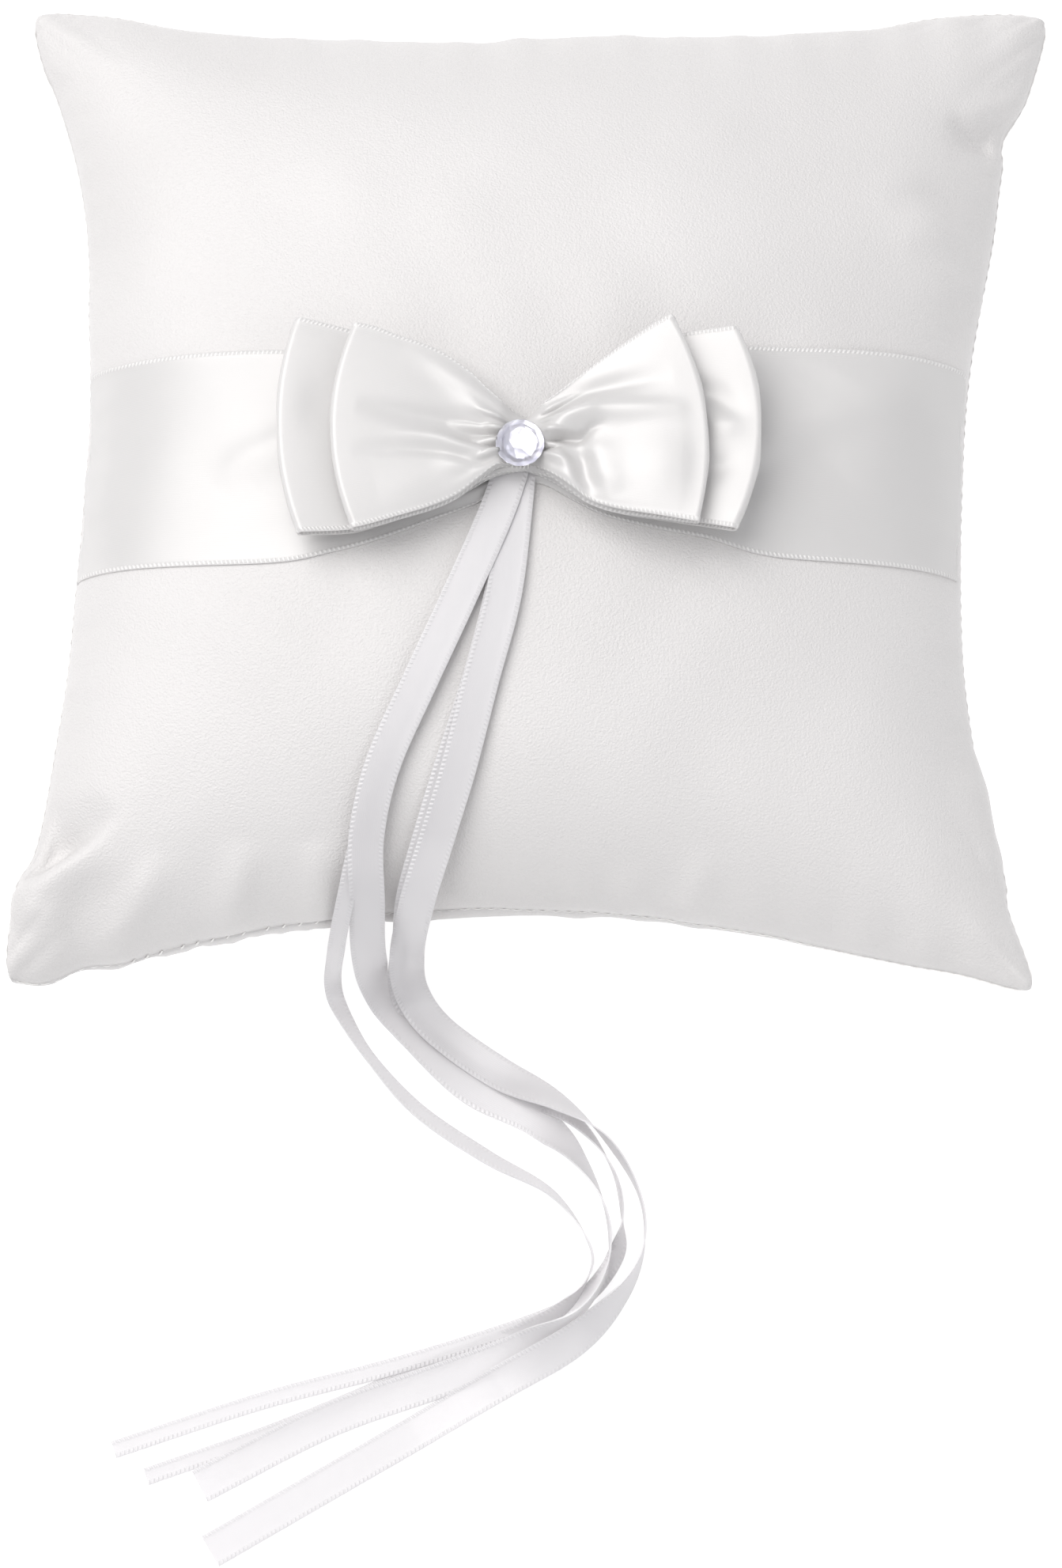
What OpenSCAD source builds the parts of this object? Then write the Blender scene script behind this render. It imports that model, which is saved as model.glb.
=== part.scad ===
// Ring bearer pillow, lying on its back at z = 0.
// Two satin panels are sewn edge to edge round a fibre filling. A wide ribbon band crosses the
// face, a double bow sits on it, and a folded wide ribbon and a folded narrow one, bound under
// the bow, give the four tails that the rings are tied to. A flat-backed stone covers the binding.
// +Z points up through the bow, +Y towards the far edge; the tails run off over the near edge.

/* [Pillow] */
// Size across the face, corner tip to corner tip
pillow_w = 190; // [170:1:220]
// Thickness at the middle, from the resting face to the top of the dome
pillow_h = 59; // [50:1:70]
// Thickness of the satin panels
cloth_t = 0.5; // [0.3:0.1:0.8]
// Width of the seam allowance that is turned inside
seam_allowance = 6; // [4:1:8]
// How far the left side pulls in between its corners
pull_left = 12; // [0:1:20]
// How far the right side pulls in between its corners
pull_right = 14; // [0:1:20]
// How far the near side pulls in between its corners
pull_near = 15; // [0:1:20]
// How far the far side pulls in between its corners
pull_far = 5; // [0:1:20]

/* [Ribbon band and bow] */
// Width of the wide satin ribbon of the band and the bow
ribbon_w = 40; // [30:1:50]
// Thickness of the ribbon
ribbon_t = 0.4; // [0.3:0.1:0.5]
// Half length of the rear bow, centre to fold
rear_bow_len = 44; // [40:1:55]
// Half length of the front bow, centre to fold
front_bow_len = 35; // [28:1:39]
// Height of each flattened loop near its fold
loop_h = 4.5; // [3:0.5:6]
// Width of the bow where the thread binds it
waist_w = 10; // [8:1:14]

/* [Stone] */
// Diameter of the stone
stone_d = 9; // [7:0.5:11]
// Height of the stone
stone_h = 3; // [2:0.5:4]

/* [Tails] */
// Width of the two wide tails
wide_tail_w = 6.5; // [5:0.5:8]
// Width of the two narrow tails
narrow_tail_w = 3.3; // [3:0.1:4]
// Thickness of the tail ribbons
tail_t = 0.3; // [0.2:0.1:0.4]

/* [Hidden] */

half_w = pillow_w / 2;
seam_z = pillow_h / 2;
// The back is this much fuller than its depth, so it flattens where it rests.
back_fullness = 1.12;
// Corner tips in half widths, from the near left one round to the far left one
CORNER_TIPS = [[-1.02, -0.99], [0.98, -1.01], [1.02, 1.01], [-1, 1.01]];
// Cells along each side of a panel's mesh
side_cells = 12;
// How far the turned cloth stands in from the outline at the seam
seam_bulk = 1.5;
// Gap round the filling
fill_gap = 0.3;

thread_r = 0.25;
// Gap between pieces that lie on each other
lay_gap = 0.1;

band_y = 1;
band_cells = 28;
// The band is gathered to this width under the bow and spreads out again over this length.
band_waist_w = 12;
band_gather = 32;
bow_at = [-2, -1.5];
// Heights of the bow's underside above the dome, at the binding and at the wing tips
knot_lift = 3.1;
wing_lift = 0.8;
// Spacing of the two layers of one bow at the binding
knot_rise = 0.8;
// Rise of the gathered ribbon at the middle of the binding
knot_arch = 1.2;
// How far the loops' folds lie towards the far edge from the binding
fold_shift = 4;
wing_cells = 5;
cross_cells = 6;

foil_t = 0.2;
glue_t = 0.6;

// The hand-sewn closing on the near edge: first and last stitch, in half widths
closing_from = -0.78;
closing_to = -0.36;
closing_count = 14;

// Routes of the tails from the binding to their cut ends. Each point is [x, y, lift, turn]:
// lift is the height under the ribbon and turn its roll, 0 lying flat and 90 standing on edge.
WIDE_LEFT_ROUTE = [
    [-2, 1, 61.5, 0], [-6, -12, 61, 0], [-13, -28, 59, 0], [-20, -43, 56.5, 0],
    [-27, -58, 52, 0], [-30, -70, 46.5, 0], [-30, -80, 38.5, 0], [-30, -86, 20, 0],
    [-28, -90, 3, 20], [-22, -97, 0, 30], [-11, -107, 0, 10], [1, -113, 0, 10],
    [9, -121, 0, 60], [14, -131, 0, 90], [14, -142, 1.5, 90], [8, -151, 1, 80],
    [-3, -157, 0.5, 10], [-19, -163, 1, 0], [-38, -170, 0.5, 0], [-61, -182, 0, 0]
];
WIDE_RIGHT_ROUTE = [
    [-2, 1, 61, 0], [-3, -12, 60.5, 0], [-5, -28, 59, 0], [-9, -43, 56.5, 0],
    [-13, -58, 52.5, 0], [-17, -70, 47, 0], [-21, -81, 38.5, 0], [-23, -86, 18, 0],
    [-22, -90, 5, 0], [-17, -96, 1, 10], [-6, -104, 1, 10], [5, -110, 1, 50],
    [14, -117, 0.5, 90], [20, -127, 0, 90], [21, -137, 0, 90], [17, -146, 0, 70],
    [8, -155, 2, 30], [-6, -163, 2, 0], [-30, -177, 0.5, 0], [-59, -194, 0, 0]
];
NARROW_LEFT_ROUTE = [
    [-2, 1, 60, 0], [-5, -12, 59.5, 0], [-11, -27, 58, 0], [-19, -43, 55.5, 0],
    [-26, -57, 51.5, 0], [-31, -69, 46, 0], [-34, -80, 38, 0], [-36, -85, 22, 0],
    [-37, -88, 4, 0], [-35, -93, 0, 30], [-30, -101, 0, 50], [-21, -111, 0, 30],
    [-8, -120, 0, 30], [4, -127, 0, 60], [11, -137, 0, 90], [10, -144, 0.5, 90],
    [4, -150, 0.5, 30], [-7, -155, 0.5, 0], [-22, -161, 0.5, 0], [-46, -171, 0, 0],
    [-71, -180, 0, 0]
];
NARROW_RIGHT_ROUTE = [
    [-2, 1, 60.5, 0], [-4, -12, 60, 0], [-7, -28, 58, 0], [-11, -43, 55.5, 0],
    [-16, -58, 51.5, 0], [-20, -70, 46, 0], [-23, -79, 38, 0], [-24, -84, 24, 0],
    [-25, -88, 6, 0], [-22, -94, 0.5, 0], [-13, -102, 0.5, 0], [-2, -108, 0.5, 0],
    [8, -113, 0.5, 40], [15, -122, 0, 90], [17, -132, 0, 90], [15, -140, 0, 0],
    [9, -147, 0, 0], [-2, -152, 0, 0], [-24, -159, 0, 0], [-50, -166, 0, 0],
    [-77, -175, 0, 0]
];

function mix(a, b, t) = a + (b - a) * t;
function unit(v) = v / norm(v);
function backwards(list) = [for (i = [len(list) - 1:-1:0]) list[i]];

// Position in plan for u and v from -1 to 1; grow moves the whole outline outwards.
function plan(u, v, grow = 0) =
    let (
        near = mix(CORNER_TIPS[0], CORNER_TIPS[1], (u + 1) / 2),
        far = mix(CORNER_TIPS[3], CORNER_TIPS[2], (u + 1) / 2),
        tip = mix(near, far, (v + 1) / 2) * (half_w + grow)
    )
    [
        tip.x + (u < 0 ? pull_left : -pull_right) * u * u * (1 - v * v),
        tip.y + (v < 0 ? pull_near : -pull_far) * v * v * (1 - u * u)
    ];

// Point on the pillow's front (side 1) or back (side -1), inset by a skin of the given depth.
function pillow_point(u, v, side, grow = 0, skin = 0) =
    let (
        fullness = side > 0 ? 1 : back_fullness,
        rise = (seam_z * fullness - 2 * skin) * sqrt(max(0, (1 - u * u) * (1 - v * v)))
    )
    [each plan(u, v, grow), seam_z + side * (skin + min(rise, seam_z - 2 * skin))];

// Height of the front near the middle of the face
function dome_z(x, y) = seam_z * (1 + sqrt((1 - pow(x / half_w, 2)) * (1 - pow(y / half_w, 2))));

// The outline as u, v pairs, anticlockwise from the near left corner
RIM = [
    for (side = [0:3], i = [0:side_cells - 1])
        let (t = -cos(180 * i / side_cells))
        [[t, -1], [1, t], [-t, 1], [-1, -t]][side]
];
// Ring sizes from the middle of the face out to the seam
RING_STEPS = [for (i = [1:side_cells]) sin(90 * i / side_cells)];

// Rings of a pillow surface, from the middle out
function pillow_rings(side, grow = 0, skin = 0) = [
    for (s = RING_STEPS) [for (q = RIM) pillow_point(q.x * s, q.y * s, side, grow, skin)]
];
function flat_ring(grow, z) = [for (q = RIM) [each plan(q.x, q.y, grow), z]];

// A closed solid through a list of rings with equal point counts. Each ring runs anticlockwise
// as seen looking along the list; the ends are closed to their middles unless looped. The two
// halves of a ring are split along mirrored diagonals, so a twisted ribbon's faces stay parallel.
module skin_solid(rings, looped = false) {
    n = len(rings[0]);
    m = len(rings);
    walls = [
        for (i = [0:m - (looped ? 1 : 2)], k = [0:n - 1])
            let (
                a = i * n + k,
                b = i * n + (k + 1) % n,
                c = ((i + 1) % m) * n + (k + 1) % n,
                d = ((i + 1) % m) * n + k
            )
            each k < n / 2 ? [[a, b, c], [a, c, d]] : [[a, b, d], [b, c, d]]
    ];
    middle = function (ring) [for (p = ring) 1] * ring / n;
    ends = looped ? [] : [
        for (k = [0:n - 1])
            each [[m * n, (k + 1) % n, k], [m * n + 1, (m - 1) * n + k, (m - 1) * n + (k + 1) % n]]
    ];
    caps = looped ? [] : [middle(rings[0]), middle(rings[m - 1])];
    polyhedron(points = [for (r = rings) each r, each caps], faces = [each walls, each ends]);
}

// Heading of a path at point i, level with its neighbours
function heading(path, i, looped = false) =
    let (
        m = len(path),
        before = looped ? path[(i + m - 1) % m] : path[max(i - 1, 0)],
        after = looped ? path[(i + 1) % m] : path[min(i + 1, m - 1)]
    )
    unit(after - before);

// A round thread along a path
module thread(path, looped = false, sides = 6) {
    skin_solid([
        for (i = [0:len(path) - 1])
            let (
                ahead = heading(path, i, looped),
                across = unit(cross(ahead, abs(ahead.z) > 0.9 ? [1, 0, 0] : [0, 0, 1])),
                over = cross(ahead, across)
            )
            [
                for (k = [0:sides - 1])
                    path[i] + thread_r * (cos(360 * k / sides) * over + sin(360 * k / sides) * across)
            ]
    ], looped);
}

// Section of a tail: a thin bar with its corners taken off
function tail_section(w) = [
    for (q = [[1, -1], [1, 1], [-1, 1], [-1, -1]])
        each q.x == q.y
            ? [[q.x * w, q.y * tail_t / 2] / 2, [q.x * (w - tail_t / 2), q.y * tail_t] / 2]
            : [[q.x * (w - tail_t / 2), q.y * tail_t] / 2, [q.x * w, q.y * tail_t / 2] / 2]
];

// Middle of the ribbon above a route's point, so that its lower edge is at the lift
function tail_centre(p, w) = [p.x, p.y, p.z + abs(sin(p[3])) * w / 2 + abs(cos(p[3])) * tail_t / 2];

// A flat ribbon swept along a route
module tail(route, w) {
    centres = [for (p = route) tail_centre(p, w)];
    skin_solid([
        for (i = [0:len(route) - 1])
            let (
                ahead = heading(centres, i),
                level = unit([ahead.y, -ahead.x, 0]),
                up = cross(level, ahead),
                turn = route[i][3],
                across = cos(turn) * level + sin(turn) * up,
                face = cos(turn) * up - sin(turn) * level
            )
            [for (q = tail_section(w)) centres[i] + q.x * across + q.y * face]
    ]);
}

// Heights of a loop's lower and upper layer above the bow's underside, r from 0 at the binding
// to 1 at the fold
function layer_rise(r, upper) =
    (upper ? 1 + sqrt(1 - r * r) : 1 - sqrt(1 - r * r)) / 2 * mix(knot_rise, loop_h, r);

function rear_lift(x) = mix(knot_lift, wing_lift, min(1, abs(x) / rear_bow_len));
function front_lift(x) =
    rear_lift(x) + layer_rise(min(1, abs(x) / rear_bow_len), true) + ribbon_t + lay_gap;

// One bow: a strip that runs out and back as a flattened loop on each side of the binding.
// Its two ends meet under the binding. Each run point is [share of the half length, upper layer].
module bow(len, front) {
    angles = [for (i = [-wing_cells:wing_cells]) 90 + 89 * i / wing_cells];
    run = [
        for (s = [-1, 1], a = s < 0 ? angles : backwards(angles))
            [s * sin(a), a > 90]
    ];
    skin_solid([
        for (p = run)
            let (
                r = min(1, abs(p.x)),
                x = p.x * len,
                lift = (front ? front_lift(x) : rear_lift(x)) + layer_rise(r, p[1]),
                half = mix(waist_w, ribbon_w, pow(r, 0.8)) / 2,
                side = p[1] ? 1 : -1
            )
            [
                for (face = [1, -1], j = [0:cross_cells])
                    let (
                        t = (2 * j / cross_cells - 1) * face,
                        y = t * half + r * fold_shift,
                        arch = knot_arch * (1 - r) * cos(90 * t),
                        out = (r > 0.999 ? [sign(p.x), 0] : [0, side]) * face * ribbon_t / 2
                    )
                    [bow_at.x + x + out.x, bow_at.y + y,
                     dome_z(bow_at.x + x, bow_at.y + y) + lift + arch + out.y]
            ]
    ]);
}

// The face of the pillow: its outer skin, the seam allowance turned inside, and its inner skin
module panel(side) {
    rings = [
        each pillow_rings(side),
        flat_ring(-seam_allowance, seam_z),
        flat_ring(-seam_allowance, seam_z + side * cloth_t),
        each backwards(pillow_rings(side, -seam_bulk, cloth_t))
    ];
    skin_solid(side > 0 ? rings : [for (r = rings) backwards(r)]);
}

module front_panel() {
    color("ivory") panel(1);
}

module back_panel() {
    color("floralwhite") panel(-1);
}

// The filling stops short of the seam allowance and stands clear of the cloth.
module fibrefill() {
    depth = cloth_t + fill_gap;
    color("white") skin_solid([
        each pillow_rings(1, -seam_allowance - fill_gap, depth),
        each backwards(pillow_rings(-1, -seam_allowance - fill_gap, depth))
    ]);
}

// The machine seam runs all round except for the opening that is closed by hand.
module perimeter_seam_thread() {
    outline = [for (q = RIM) [each plan(q.x, q.y, thread_r + lay_gap), seam_z]];
    opening = [for (i = [0:len(RIM) - 1]) if (RIM[i].y == -1 && RIM[i].x > closing_to) i][0];
    last = [for (i = [0:side_cells]) if (RIM[i].x < closing_from) i];
    run = [
        for (i = [opening:len(RIM) - 1]) outline[i],
        for (i = last) outline[i]
    ];
    color("gainsboro") thread(run);
}

// Short hand stitches across the seam, side by side along the opening
module closing_stitches() {
    stitch_h = 2.4;
    color("white") for (i = [0:closing_count - 1]) {
        at = plan(mix(closing_from, closing_to, i / (closing_count - 1)), -1, 2 * thread_r + lay_gap);
        translate([at.x, at.y, seam_z - stitch_h / 2]) cylinder(h = stitch_h, r = thread_r, $fn = 16);
    }
}

// The band lies on the front panel, gathered under the bow, and ends at the side seams.
module band_ribbon() {
    edge = 0.999;
    color("whitesmoke") skin_solid([
        for (i = [0:band_cells])
            let (
                u = edge * -cos(180 * i / band_cells),
                spread = min(1, abs(u * half_w - bow_at.x) / band_gather),
                middle = mix(bow_at.y, band_y, spread),
                half = mix(band_waist_w, ribbon_w, spread) / 2
            )
            [
                for (top = [true, false], j = [0:4])
                    let (
                        t = (top ? 1 : -1) * (j / 2 - 1),
                        p = pillow_point(u, (middle + t * half) / half_w, 1, top ? lay_gap + ribbon_t : lay_gap)
                    )
                    [p.x, p.y, p.z + (top ? lay_gap + ribbon_t : lay_gap)]
            ]
    ]);
}

module bow_rear_ribbon() {
    color("white") bow(rear_bow_len, false);
}

module bow_front_ribbon() {
    color("snow") bow(front_bow_len, true);
}

// Turns of thread round both bows and the folded middles of the tail ribbons
module bow_binding_thread() {
    turns = 3;
    pitch = 1.2;
    steps = 24;
    low = dome_z(bow_at.x, bow_at.y) + ribbon_t + 2 * lay_gap + thread_r;
    high = dome_z(bow_at.x, bow_at.y) + front_lift(0) + knot_rise + knot_arch + ribbon_t + thread_r;
    color("gainsboro") for (i = [0:turns - 1]) {
        thread([
            for (k = [0:steps - 1])
                let (a = 360 * k / steps)
                [
                    bow_at.x + pitch * (i - 1),
                    bow_at.y + (waist_w / 2 + 2 * thread_r) * cos(a),
                    (low + high) / 2 + (high - low) / 2 * sin(a)
                ]
        ], looped = true);
    }
}

// Stitches that lie on the band beside the binding and hold the bow down
module tacking_stitches() {
    length = 3;
    color("gainsboro") for (sx = [-1, 1], sy = [-1, 1]) {
        x = bow_at.x + sx * 4;
        y = bow_at.y + sy * 3;
        z = dome_z(x, y) + ribbon_t + 3 * lay_gap + thread_r;
        translate([x, y - length / 2, z]) rotate([-90, 0, 0]) cylinder(h = length, r = thread_r, $fn = 16);
    }
}

// Top of the binding, where the stone is glued
stone_z = dome_z(bow_at.x, bow_at.y) + front_lift(0) + knot_rise + knot_arch + ribbon_t + 2 * thread_r;

module glue_dot() {
    color("lightyellow") translate([bow_at.x, bow_at.y, stone_z + lay_gap])
        cylinder(h = glue_t, r = stone_d * 0.4, $fn = 48);
}

module rhinestone_foil() {
    color("silver") translate([bow_at.x, bow_at.y, stone_z + lay_gap + glue_t])
        cylinder(h = foil_t, r = stone_d / 2 - 0.2, $fn = 48);
}

// A round girdle under a twelve-sided crown with a flat table
module rhinestone() {
    girdle_h = 0.6;
    table_r = stone_d * 0.27;
    color("aliceblue") translate([bow_at.x, bow_at.y, stone_z + lay_gap + glue_t + foil_t])
        hull() {
            cylinder(h = girdle_h, r = stone_d / 2, $fn = 24);
            rotate(15) cylinder(h = stone_h, r = table_r, $fn = 12);
        }
}

module wide_tail_left() {
    color("white") tail(WIDE_LEFT_ROUTE, wide_tail_w);
}

module wide_tail_right() {
    color("whitesmoke") tail(WIDE_RIGHT_ROUTE, wide_tail_w);
}

module narrow_tail_left() {
    color("lavender") tail(NARROW_LEFT_ROUTE, narrow_tail_w);
}

module narrow_tail_right() {
    color("ghostwhite") tail(NARROW_RIGHT_ROUTE, narrow_tail_w);
}

front_panel();
back_panel();
fibrefill();
perimeter_seam_thread();
closing_stitches();
band_ribbon();
bow_rear_ribbon();
bow_front_ribbon();
bow_binding_thread();
tacking_stitches();
rhinestone();
rhinestone_foil();
glue_dot();
wide_tail_left();
wide_tail_right();
narrow_tail_left();
narrow_tail_right();
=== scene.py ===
import math

import bpy
import numpy as np
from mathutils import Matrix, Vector
from mathutils.bvhtree import BVHTree


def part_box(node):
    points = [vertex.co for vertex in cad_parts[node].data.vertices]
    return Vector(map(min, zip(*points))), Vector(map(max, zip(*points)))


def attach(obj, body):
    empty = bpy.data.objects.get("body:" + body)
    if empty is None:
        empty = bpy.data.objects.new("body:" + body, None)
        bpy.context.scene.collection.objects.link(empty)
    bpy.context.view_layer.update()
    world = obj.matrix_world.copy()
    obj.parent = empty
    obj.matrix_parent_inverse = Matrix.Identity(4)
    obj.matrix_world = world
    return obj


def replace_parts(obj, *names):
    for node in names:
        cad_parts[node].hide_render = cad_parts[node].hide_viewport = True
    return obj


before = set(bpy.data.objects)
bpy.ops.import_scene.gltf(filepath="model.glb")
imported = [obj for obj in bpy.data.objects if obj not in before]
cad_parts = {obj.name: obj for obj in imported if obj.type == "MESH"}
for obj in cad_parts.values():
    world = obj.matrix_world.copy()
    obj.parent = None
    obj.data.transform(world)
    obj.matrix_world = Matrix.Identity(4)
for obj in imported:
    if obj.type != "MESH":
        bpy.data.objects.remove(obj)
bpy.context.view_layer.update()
MM = 0.001

# ---------------------------------------------------------------- sizes, in metres
SEAM_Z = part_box("front_panel")[0].z
HALF_W = 95 * MM
CUT_SIDE = 203 * MM
CLOTH_T = 0.5 * MM
RIM_TUCK = 1.2 * MM
RIBBON_W = 40 * MM
RIBBON_T = 0.35 * MM
RIBBON_CORD = 0.2 * MM
GEM_LOW, GEM_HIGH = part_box("rhinestone")
KNOT = Vector(((GEM_LOW.x + GEM_HIGH.x) / 2, (GEM_LOW.y + GEM_HIGH.y) / 2, GEM_LOW.z))

TAIL_T = 0.3 * MM
TAIL_CORD = 0.06 * MM
WIDE_W = 6.5 * MM
NARROW_W = 3.3 * MM
# Middle of the selvage from the ribbon's edge, and the length of one stitch in it
SELVAGE_IN = 0.45 * MM
STITCH = 0.85 * MM

# Routes of the tails, as in the CAD model: x, y, height under the ribbon (mm) and roll (degrees)
ROUTES = {
    "wide_tail_left": [
        (-2, 1, 61.5, 0), (-6, -12, 61, 0), (-13, -28, 59, 0), (-20, -43, 56.5, 0),
        (-27, -58, 52, 0), (-30, -70, 46.5, 0), (-30, -80, 38.5, 0), (-30, -86, 20, 0),
        (-28, -90, 3, 20), (-22, -97, 0, 30), (-11, -107, 0, 10), (1, -113, 0, 10),
        (9, -121, 0, 60), (14, -131, 0, 90), (14, -142, 1.5, 90), (8, -151, 1, 80),
        (-3, -157, 0.5, 10), (-19, -163, 1, 0), (-38, -170, 0.5, 0), (-61, -182, 0, 0),
    ],
    "wide_tail_right": [
        (-2, 1, 61, 0), (-3, -12, 60.5, 0), (-5, -28, 59, 0), (-9, -43, 56.5, 0),
        (-13, -58, 52.5, 0), (-17, -70, 47, 0), (-21, -81, 38.5, 0), (-23, -86, 18, 0),
        (-22, -90, 5, 0), (-17, -96, 1, 10), (-6, -104, 1, 10), (5, -110, 1, 50),
        (14, -117, 0.5, 90), (20, -127, 0, 90), (21, -137, 0, 90), (17, -146, 0, 70),
        (8, -155, 2, 30), (-6, -163, 2, 0), (-30, -177, 0.5, 0), (-59, -194, 0, 0),
    ],
    "narrow_tail_left": [
        (-2, 1, 60, 0), (-5, -12, 59.5, 0), (-11, -27, 58, 0), (-19, -43, 55.5, 0),
        (-26, -57, 51.5, 0), (-31, -69, 46, 0), (-34, -80, 38, 0), (-36, -85, 22, 0),
        (-37, -88, 4, 0), (-35, -93, 0, 30), (-30, -101, 0, 50), (-21, -111, 0, 30),
        (-8, -120, 0, 30), (4, -127, 0, 60), (11, -137, 0, 90), (10, -144, 0.5, 90),
        (4, -150, 0.5, 30), (-7, -155, 0.5, 0), (-22, -161, 0.5, 0), (-46, -171, 0, 0),
        (-71, -180, 0, 0),
    ],
    "narrow_tail_right": [
        (-2, 1, 60.5, 0), (-4, -12, 60, 0), (-7, -28, 58, 0), (-11, -43, 55.5, 0),
        (-16, -58, 51.5, 0), (-20, -70, 46, 0), (-23, -79, 38, 0), (-24, -84, 24, 0),
        (-25, -88, 6, 0), (-22, -94, 0.5, 0), (-13, -102, 0.5, 0), (-2, -108, 0.5, 0),
        (8, -113, 0.5, 40), (15, -122, 0, 90), (17, -132, 0, 90), (15, -140, 0, 0),
        (9, -147, 0, 0), (-2, -152, 0, 0), (-24, -159, 0, 0), (-50, -166, 0, 0),
        (-77, -175, 0, 0),
    ],
}


# ---------------------------------------------------------------- camera, light, floor
def add_object(name, data):
    """A new object, in the scene."""
    thing = bpy.data.objects.new(name, data)
    bpy.context.scene.collection.objects.link(thing)
    return thing


def make_camera():
    """Looks at the pillow lying on its back, from above its near edge."""
    elevation = math.radians(75)
    target = Vector((0, -55.6 * MM, SEAM_Z))
    distance = 1.425
    camera = add_object("camera", bpy.data.cameras.new("camera"))
    camera.location = target + distance * Vector((0, -math.cos(elevation), math.sin(elevation)))
    camera.rotation_euler = (math.pi / 2 - elevation, 0, 0)
    camera.data.sensor_width = 36
    camera.data.lens = 177
    camera.data.clip_start = 0.05
    bpy.context.scene.camera = camera


def area_light(name, place, aim, size, power, colour):
    """A square soft box at place that points at aim."""
    data = bpy.data.lights.new(name, "AREA")
    data.size = size
    data.energy = power
    data.color = colour
    lamp = add_object(name, data)
    lamp.location = place
    lamp.rotation_euler = (Vector(aim) - Vector(place)).to_track_quat("-Z", "Y").to_euler()


def make_lights():
    centre = (0, -0.03, 0.03)
    area_light("key", (-0.66, 0.42, 1.48), centre, 1.35, 22, (1.0, 0.985, 0.972))
    area_light("fill", (0.75, -0.9, 0.95), centre, 1.1, 2.5, (1.0, 0.99, 0.98))
    world = bpy.data.worlds.new("studio")
    world.use_nodes = True
    background = world.node_tree.nodes["Background"]
    background.inputs["Color"].default_value = (0.96, 0.97, 0.995, 1)
    background.inputs["Strength"].default_value = 0.67
    bpy.context.scene.world = world
    bpy.context.scene.view_settings.view_transform = "Standard"


def make_floor():
    mesh = bpy.data.meshes.new("floor")
    reach = 2.5
    corners = [(-reach, -reach, 0), (reach, -reach, 0), (reach, reach, 0), (-reach, reach, 0)]
    mesh.from_pydata(corners, [], [(0, 1, 2, 3)])
    floor = add_object("floor", mesh)
    material = bpy.data.materials.new("floor")
    material.use_nodes = True
    shader = material.node_tree.nodes["Principled BSDF"]
    shader.inputs["Base Color"].default_value = (0.6, 0.6, 0.6, 1)
    shader.inputs["Roughness"].default_value = 0.9
    # A light table: it glows a little, so the pillow throws only a faint shadow.
    shader.inputs["Emission Color"].default_value = (1, 1, 1, 1)
    shader.inputs["Emission Strength"].default_value = 0.62
    mesh.materials.append(material)


# ---------------------------------------------------------------- mesh helpers
def smooth(t):
    """0 below 0, 1 above 1, with level ends."""
    t = np.clip(t, 0, 1)
    return t * t * (3 - 2 * t)


def bell(x):
    return np.exp(-0.5 * x * x)


def unit(v):
    """v scaled to length 1 along its last axis."""
    return v / np.maximum(np.linalg.norm(v, axis=-1, keepdims=True), 1e-12)


def run_along(p):
    """Distance from the start at each point of a line."""
    return np.r_[0, np.cumsum(np.linalg.norm(np.diff(p, axis=0), axis=1))]


def spline(points, step):
    """A Catmull-Rom line through points, resampled about every step, and the distance along it.
    The first three numbers of a point are its place; any others are carried along."""
    p = np.array(points, float)
    ends = np.vstack([2 * p[0] - p[1], p, 2 * p[-1] - p[-2]])
    dense = []
    for i in range(len(p) - 1):
        a, b, c, d = ends[i:i + 4]
        t = np.linspace(0, 1, 24, endpoint=False)[:, None]
        bend = (2 * a - 5 * b + 4 * c - d) * t**2
        dense.append(0.5 * (2 * b + (c - a) * t + bend + (3 * b - a - 3 * c + d) * t**3))
    dense = np.vstack(dense + [p[-1:]])
    run = run_along(dense[:, :3])
    at = np.linspace(0, run[-1], max(2, round(run[-1] / step) + 1))
    return np.stack([np.interp(at, run, dense[:, k]) for k in range(dense.shape[1])], 1), at


def grid_normals(p):
    """Unit normals of a grid of points, up where the second index runs to the left of the first."""
    return unit(np.cross(np.gradient(p, axis=0), np.gradient(p, axis=1)))


def outline(grid):
    """The entries round the edge of a grid, in order."""
    return np.concatenate([grid[:, 0], grid[-1, 1:], grid[::-1, -1][1:], grid[0, ::-1][1:-1]])


def cells(k):
    """The four corners of each cell of a grid of indices."""
    return np.stack([k[:-1, :-1], k[1:, :-1], k[1:, 1:], k[:-1, 1:]], -1).reshape(-1, 4)


def shell_faces(rows, columns):
    """Faces of a closed sheet: a grid of points, the same grid under it and a wall between."""
    count = rows * columns
    k = np.arange(count).reshape(rows, columns)
    rim = outline(k)
    after = np.roll(rim, -1)
    wall = np.stack([after, rim, rim + count, after + count], -1)
    return np.vstack([cells(k), cells(k)[:, ::-1] + count, wall])


def new_piece(name, verts, faces, material, uvs=None, sharp=()):
    mesh = bpy.data.meshes.new(name)
    mesh.from_pydata([tuple(v) for v in verts], [], [tuple(f) for f in faces])
    mesh.validate()
    if uvs is not None:
        layer = mesh.uv_layers.new(name="weave")
        index = np.zeros(len(mesh.loops), int)
        mesh.loops.foreach_get("vertex_index", index)
        layer.data.foreach_set("uv", np.asarray(uvs)[index].astype(np.float32).ravel())
    mesh.shade_smooth()
    for edge in mesh.edges if sharp else ():
        if tuple(sorted(edge.vertices)) in sharp:
            edge.use_edge_sharp = True
    piece = add_object(name, mesh)
    mesh.materials.append(material)
    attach(piece, "root")
    return piece


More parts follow.
